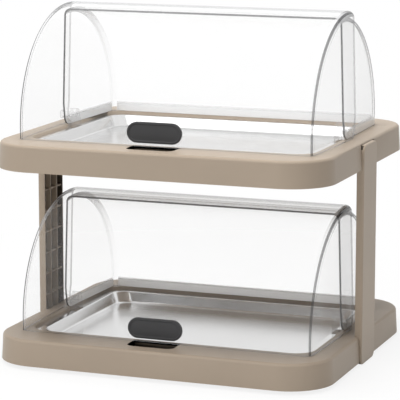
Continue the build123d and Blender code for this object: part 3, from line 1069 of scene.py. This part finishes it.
@dataclass
class ServingTray:
    """The pressed steel tray of a tier.

    Args:
        tier: The tier that it belongs to.
        half_x: Half its length.
        half_y: Half its depth from front to back.
        slope: How far the well's wall leans inwards.
        notch_x: Where the flange's notches for the brackets begin.
        notch_y: Half the width of a notch.
        notch_reach: How far a notch's cutter passes the flange.
    """

    tier: Tier
    half_x: float = 187.5 * MM
    half_y: float = 136.5 * MM
    corner: float = 25.5 * MM
    flange: float = 12.0 * MM
    sheet: float = 0.8 * MM
    depth: float = 14.0 * MM
    slope: float = 6.0 * MM
    lip_round: float = 1.6 * MM
    floor_round: float = 3.4 * MM
    well_corner: float = 20.0 * MM
    notch_x: float = 176.5 * MM
    notch_y: float = 13.0 * MM
    notch_reach: float = 5.0 * MM
    lip_steps: int = 6
    floor_steps: int = 8
    corner_steps: int = 14

    def _section(self) -> list[Flat]:
        """Inset and height of the rings from the flange's edge to the floor."""
        fall = (self.flange + self.slope, -self.depth)
        edge = (self.flange, 0.0)
        middle = (self.half_y, -self.depth)
        lip = rounded_corner(edge, (0.0, 0.0), fall, self.lip_round, self.lip_steps)
        foot = rounded_corner(fall, edge, middle, self.floor_round, self.floor_steps)
        return [(0.0, 0.0), *lip, *foot, (foot[-1][0] + self.sheet, -self.depth)]

    def _underside(self, section: Sequence[Flat]) -> list[Flat]:
        """The section moved by the sheet's thickness, out and down."""
        moved = []
        for k, (inset, drop) in enumerate(section):
            before = section[max(k - 1, 0)]
            after = section[min(k + 1, len(section) - 1)]
            along = (Vector(after) - Vector(before)).normalized()
            moved.append((inset + along.y * self.sheet, drop - along.x * self.sheet))
        return moved

    def _ring(self, inset: float, height: float) -> list[Point]:
        """The tray's outline at one inset and height."""
        share = min(1.0, inset / self.flange)
        corner = self.corner + (self.well_corner - self.corner) * share
        half_x, half_y = self.half_x - inset, self.half_y - inset
        outline = rounded_rectangle(half_x, half_y, corner, self.corner_steps)
        return [(x, y, height) for x, y in outline]

    def build(self, steel: Material, twin: Optional[Object] = None, rise: float = 0.0) -> Object:
        """Make the tray, or copy that of the lower tier.

        Args:
            steel: Its material.
            twin: The lower tier's tray, if it is made already.
            rise: How far above the twin it lies.

        Returns:
            The finished object.
        """
        name = self.tier.node("serving_tray")
        tray = raised_copy(twin, name, rise) if twin else self._shape(name, steel)
        return dress(tray, "base", [self.tier.node("steel_tray")])

    def _shape(self, name: str, steel: Material) -> Object:
        """Make the tray with its notches for the pivot brackets."""
        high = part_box(self.tier.node("steel_tray"))[1]
        section = self._section()
        both = list(reversed(section)) + self._underside(section)
        rings = [self._ring(inset, high.z + drop) for inset, drop in both]
        tray = ring_solid(name, rings, [steel])
        past = self.notch_reach
        for side in Side:
            left, right = sorted((side.value * self.notch_x, side.value * (self.half_x + past)))
            near = (left, -self.notch_y, high.z - past)
            far = (right, self.notch_y, high.z + past)
            cut(tray, box_object("notch", near, far, steel), "DIFFERENCE")
        return soften(tray)


@dataclass
class TierShell:
    """The rimmed casing of a tier, with the finger recess in its front painted near black as shade.

    Args:
        tier: The tier that it belongs to.
        recess_x: Where the recess lies along X.
        recess_y: Where it lies along Y.
        rim_skin: Depth under the rim where the recess's painted shade begins.
        mat_inset: Distance from its walls to the near-black sheet of painted shade on its floor.
    """

    tier: Tier
    recess_x: Flat = (-41.5 * MM, 23.5 * MM)
    recess_y: Flat = (-172.6 * MM, -141.0 * MM)
    rim_skin: float = 0.4 * MM
    mat_inset: float = 2.0 * MM
    mat_thickness: float = 0.4 * MM

    def build(self, taupe: Material, dark: Material) -> Object:
        """Make the casing from the CAD form, with near black painted on its recess as shade."""
        shell = smooth_copy(self.tier.node("base_shell"), self.tier.node("casing"), [taupe, dark])
        # Recess faces below the rim take the near-black material, which paints the recess's shade.
        top = self.tier.rim - self.rim_skin
        for face in shell.data.polygons:
            x, y, z = face.center
            inside = self.recess_x[0] < x < self.recess_x[1] and self.recess_y[0] < y < self.recess_y[1]
            if inside and z < top:
                face.material_index = 1
        dress(shell, "base", [self.tier.node("base_shell")])
        # A thin near-black sheet on the recess floor paints its shade; it is no real part.
        pan_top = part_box(self.tier.node("cooling_pack_left"))[0].z
        inset = self.mat_inset
        low = (self.recess_x[0] + inset, self.recess_y[0] + inset, pan_top)
        high = (self.recess_x[1] - inset, self.recess_y[1] - inset, pan_top + self.mat_thickness)
        shade_sheet = box_object(self.tier.node("recess_mat"), low, high, dark)
        dress(shade_sheet, "base")
        return shell


@dataclass
class SidePost:
    """A side post: a rounded channel, open inwards, with stiffening ribs.

    Args:
        side: The side that it stands on.
        inner_x: X of its open side.
        outer_x: X of its outer face.
        mouth_round: Size of the chamfers at its open side.
        rib_y: Distance of the tall ribs from its middle.
        rib_pitch: Greatest distance between the cross ribs.
        slack: How far past the channel's floor its painted shade may reach.
    """

    side: Side
    inner_x: float = 213.0 * MM
    outer_x: float = 222.4 * MM
    half_y: float = 29.0 * MM
    skin: float = 2.3 * MM
    corner: float = 10.0 * MM
    edge_round: float = 2.2 * MM
    mouth_round: float = 0.4 * MM
    rib: float = 1.6 * MM
    rib_y: float = 9.5 * MM
    rib_pitch: float = 30.0 * MM
    slack: float = 0.1 * MM
    edge_steps: int = 7

    def _node(self) -> str:
        """Name of the post's CAD node."""
        return f"{self.side.word}_post"

    def _heights(self) -> Flat:
        """Heights of its lower and upper end."""
        low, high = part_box(self._node())
        return low.z, high.z

    def _floor_x(self) -> float:
        """X of the channel's floor."""
        return self.outer_x - self.skin

    def _ring(self, inset: float, x: float, low: float, high: float) -> list[Point]:
        """A rounded outline inset from the post's face, at one X."""
        half_z = (high - low) / 2 - inset
        ring = rounded_rectangle(self.half_y - inset, half_z, self.corner - inset)
        middle = (high + low) / 2
        return [(self.side.value * x, y, middle + z) for y, z in ring]

    def _channel(self, materials: Sequence[Material]) -> Object:
        """The channel, with the second material, a painted shade, on its inside."""
        low, high = self._heights()
        floor_x = self._floor_x()
        m, r = self.mouth_round, self.edge_round
        section = [
            (self.skin, floor_x),
            (self.skin, self.inner_x + m),
            (self.skin - m, self.inner_x),
            (m, self.inner_x),
            (0.0, self.inner_x + m),
        ]
        for i in range(self.edge_steps + 1):
            a = math.pi / 2 * i / self.edge_steps
            section.append((r * (1 - math.cos(a)), self.outer_x - r + r * math.sin(a)))
        rings = [self._ring(inset, x, low, high) for inset, x in section]
        post = soften(ring_solid(f"{self._node()}_channel", rings, materials))
        edge = self.skin / 2
        # Faces inside the channel take the second material, which paints shade there.
        for face in post.data.polygons:
            x, y, z = face.center
            within = abs(y) < self.half_y - edge and low + edge < z < high - edge
            if within and self.inner_x + m / 2 < abs(x) < floor_x + self.slack:
                face.material_index = 1
        return post

    def _rib_sets(self) -> dict[str, dict[str, object]]:
        """Inputs of the rib tree for each set of ribs."""
        low, high = self._heights()
        height = high - low
        floor_x = self._floor_x()
        depth = floor_x - self.inner_x
        middle_x = self.side.value * (self.inner_x + floor_x) / 2
        cross_x = self.side.value * (self.inner_x + self.rib + floor_x) / 2
        count = int(height / self.rib_pitch)
        step = height / (count + 1)
        return {
            "tall": {
                "size": (depth, self.rib, height - 2 * self.skin),
                "start": (middle_x, -self.rib_y, (high + low) / 2),
                "step": (0.0, 2 * self.rib_y, 0.0),
                "count": 2,
            },
            "cross": {
                "size": (depth - self.rib, 2 * (self.half_y - self.skin), self.rib),
                "start": (cross_x, 0.0, low + step),
                "step": (0.0, 0.0, step),
                "count": count,
            },
        }

    def build(self, taupe: Material, inside: Material, ribs: NodeTree) -> list[Object]:
        """Make the post's channel and the ribs in it.

        Args:
            taupe: Material of its outside and its ribs.
            inside: Material of the channel's inside, a much darker taupe that paints shade there.
            ribs: The tree that repeats ribs.

        Returns:
            The channel and its two sets of ribs.
        """
        made = [dress(self._channel([taupe, inside]), "base", [self._node()])]
        for word, values in self._rib_sets().items():
            points = make_points(f"{self._node()}_{word}_ribs")
            piece = run_tool(points, ribs, **values, material=taupe)
            made.append(dress(piece, "base"))
        return made


@dataclass
class PlainParts:
    """Pieces that keep their CAD form and only get a finish.

    Args:
        finishes: The material of each kind of part, by a word in its node's name.
    """

    finishes: dict[str, Material]

    def build(self) -> None:
        """Give each such node its material."""
        for name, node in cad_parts.items():
            for word, material in self.finishes.items():
                if word in name and not node.hide_render:
                    node.data.materials.clear()
                    node.data.materials.append(material)
                    LOG.info("finished %s with %s", name, material.name)


@dataclass
class PivotSet:
    """The clear brackets and pins that the covers of a tier turn on.

    Args:
        tier: The tier that they belong to.
    """

    tier: Tier

    def build(self, clear: Material) -> list[Object]:
        """Make smooth brackets and pins."""
        made = []
        for side in Side:
            for part in ("bracket", "pin"):
                node = self.tier.node(f"pivot_{part}_{side.word}")
                piece = smooth_copy(node, f"{node}_clear", [clear])
                made.append(dress(piece, "base", [node]))
        return made


# Studio


@dataclass
class Studio:
    """Floor, backdrop, lamps, reflection cards and camera.

    Args:
        camera_place: Where the camera stands.
        camera_yaw: Its turn about Z in degrees, to the left of +Y.
        camera_pitch: How far it looks down, in degrees.
        camera_lens: Focal length for a 36 mm wide frame, in millimetres.
        floor_reach: Half the floor's width.
        sky_level: The sky's strength for diffuse light.
        floor_colour: The floor's colour.
        floor_glow: How far the floor looks plain white, near the middle and far from it.
        glow_reach: Distances from the middle between which that changes.
    """

    camera_place: Point = (0.98336, -2.61466, 0.70101)
    camera_yaw: float = 20.7247
    camera_pitch: float = 10.2796
    camera_lens: float = 197.87
    floor_reach: float = 6.0
    sky_level: float = 0.38
    floor_colour: Point = (0.8, 0.8, 0.8)
    floor_glow: Flat = (0.84, 1.0)
    glow_reach: Flat = (0.32, 0.8)

    def _camera(self) -> None:
        """Put the camera at the photograph's viewing angle."""
        data = bpy.data.cameras.new("camera")
        data.sensor_width = 36.0
        data.lens = self.camera_lens
        data.clip_start = 0.05
        data.clip_end = 50.0
        camera = link_object("camera", data)
        camera.location = self.camera_place
        camera.rotation_euler = (
            math.radians(90.0 - self.camera_pitch),
            0.0,
            math.radians(self.camera_yaw),
        )
        bpy.context.scene.camera = camera

    def _floor(self) -> None:
        """A pale floor that shows white and keeps the object's shadow."""
        shader = Shader("studio floor")
        shader.set("Base Color", self.floor_colour)
        shader.set("Roughness", 0.9)
        away = shader.value("ShaderNodeVectorMath", {0: shader.place()}, "Value", operation="LENGTH")
        white = shader.seen() * shader.spread(away, *self.glow_reach, self.floor_glow)
        plain = shader.surface.outputs["BSDF"]
        shader.show(shader.out("ShaderNodeMixShader", {0: white, 1: plain, 2: shader.glow(1.0)}))
        reach = self.floor_reach
        floor = box_object("floor", (-reach, -reach, -0.02), (reach, reach, 0.0), shader.material)

    def _world(self) -> None:
        """An even white sky, dimmer for diffuse light."""
        world = bpy.data.worlds.new("studio")
        bpy.context.scene.world = world
        world.use_nodes = True
        nodes = Nodes(world.node_tree)
        nodes.tree.nodes.clear()
        level = nodes.seen((self.sky_level, 1.0))
        sky = nodes.out("ShaderNodeBackground", {"Color": WHITE, "Strength": level})
        nodes.node("ShaderNodeOutputWorld", {}, {"Surface": sky})

    def _lamp(
        self, name: str, place: Point, target: Point, size: float, power: float, mirrored: bool = True
    ) -> None:
        """A soft square lamp that faces a point.

        Args:
            name: Its name.
            place: Where it hangs.
            target: The point that it faces.
            size: Its width.
            power: Its power in watts.
            mirrored: Whether reflections show it.
        """
        data = bpy.data.lights.new(name, "AREA")
        data.shape = "SQUARE"
        data.size = size
        data.energy = power
        lamp = link_object(name, data)
        lamp.location = place
        lamp.rotation_euler = (Vector(target) - Vector(place)).to_track_quat("-Z", "Y").to_euler()
        lamp.visible_glossy = mirrored

    def _card(
        self, name: str, centre: Point, width: float, height: float, turn: float, level: float
    ) -> None:
        """An upright card that only reflections see.

        Args:
            name: Its name.
            centre: Its middle.
            width: Its width.
            height: Its height.
            turn: Its turn about Z in degrees.
            level: Its brightness.
        """
        shader = Shader(name)
        shader.show(shader.glow(level))
        t = math.radians(turn)
        along = Vector((math.cos(t), math.sin(t), 0.0)) * (width / 2)
        up = Vector((0.0, 0.0, height / 2))
        middle = Vector(centre)
        corners = [middle + i * along + j * up for i, j in ((-1, -1), (1, -1), (1, 1), (-1, 1))]
        mesh = plain_mesh(name, corners, [(0, 1, 2, 3)])
        mesh.materials.append(shader.material)
        card = link_object(name, mesh)
        card.visible_camera = False
        card.visible_diffuse = False
        card.visible_shadow = False
        card.visible_transmission = False

    def build(self) -> None:
        """Build the whole studio."""
        self._camera()
        self._floor()
        self._world()
        self._lamp("key lamp", (-0.9, -2.3, 1.6), (0.0, 0.0, 0.2), size=2.2, power=30.0)
        self._lamp("top lamp", (-0.1, -0.2, 2.6), (0.0, 0.0, 0.1), size=1.4, power=66.0, mirrored=False)
        self._card("rear grey card", (1.0, 1.9, 0.3), width=1.5, height=1.0, turn=20.0, level=0.85)
        self._card("front dark card", (-0.85, -1.75, 0.9), width=1.3, height=1.1, turn=-25.0, level=0.04)
        scene = bpy.context.scene
        scene.view_settings.view_transform = "Standard"
        scene.cycles.transparent_max_bounces = 32


@dataclass
class BuffetDisplay:
    """The whole display.

    Args:
        front_radius: Outer radius of the front covers.
        front_half_width: Half the front covers' width at the axis.
        cover_step: How much smaller the rear covers are.
        bracket_outer: X of the brackets' outer faces.
        hub_gap: Play beside each hub.
    """

    front_radius: float = 148.0 * MM
    front_half_width: float = 198.4 * MM
    cover_step: float = 6.2 * MM
    bracket_outer: float = 186.5 * MM
    hub_gap: float = 0.4 * MM

    def build(self) -> None:
        """Build every piece in order."""
        plastics = {
            CoverSide.FRONT: [f.material() for f in (CLEAR_FRONT, EDGE_FRONT, BEND_CORE, BEND_SOFT)],
            CoverSide.REAR: [f.material() for f in (CLEAR_REAR, EDGE_REAR, BEND_CORE, BEND_SOFT)],
        }
        taupe = TAUPE_SHELL.material()
        post = TAUPE_POST.material()
        channel = TAUPE_CHANNEL_SHADE.material()
        dark = RECESS_SHADE.material()
        steel = TRAY_STEEL.material()
        handle = HANDLE_DARK.material()
        bracket = CLEAR_BRACKET.material()
        screw_steel = SCREW_STEEL.material()
        screws = screw_tree()
        ribs = rib_tree()
        rear_half = self.front_half_width - self.cover_step
        made: dict[CoverSide, Object] = {}
        tray: Optional[Object] = None
        for tier in Tier:
            rise = tier.axis - Tier.LOWER.axis
            TierShell(tier).build(taupe, dark)
            tray = ServingTray(tier).build(steel, tray, rise)
            PivotSet(tier).build(bracket)
            for side, shrink, inner in (
                (CoverSide.FRONT, 0.0, rear_half + self.hub_gap),
                (CoverSide.REAR, self.cover_step, self.bracket_outer + self.hub_gap),
            ):
                cover = RollCover(
                    tier, side, self.front_radius - shrink, self.front_half_width - shrink, inner
                )
                made[side] = cover.build(plastics[side], made.get(side), rise)
            FingerPlate(tier, self.front_radius).build(handle)
        for side in Side:
            SidePost(side).build(post, channel, ribs)
        for tier in Tier:
            ScrewSet(tier, screw_steel).build(screws)
        PlainParts(
            {
                "base_pan": TAUPE_PAN.material(),
                "screws": screw_steel,
                "cooling_pack": PACK_BLUE.material(),
                "foot": RUBBER.material(),
            }
        ).build()


def main() -> None:
    """Build the display and its studio."""
    logging.basicConfig(level=logging.INFO, format="%(message)s")
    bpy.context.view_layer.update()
    BuffetDisplay().build()
    Studio().build()


if __name__ == "__main__":
    main()
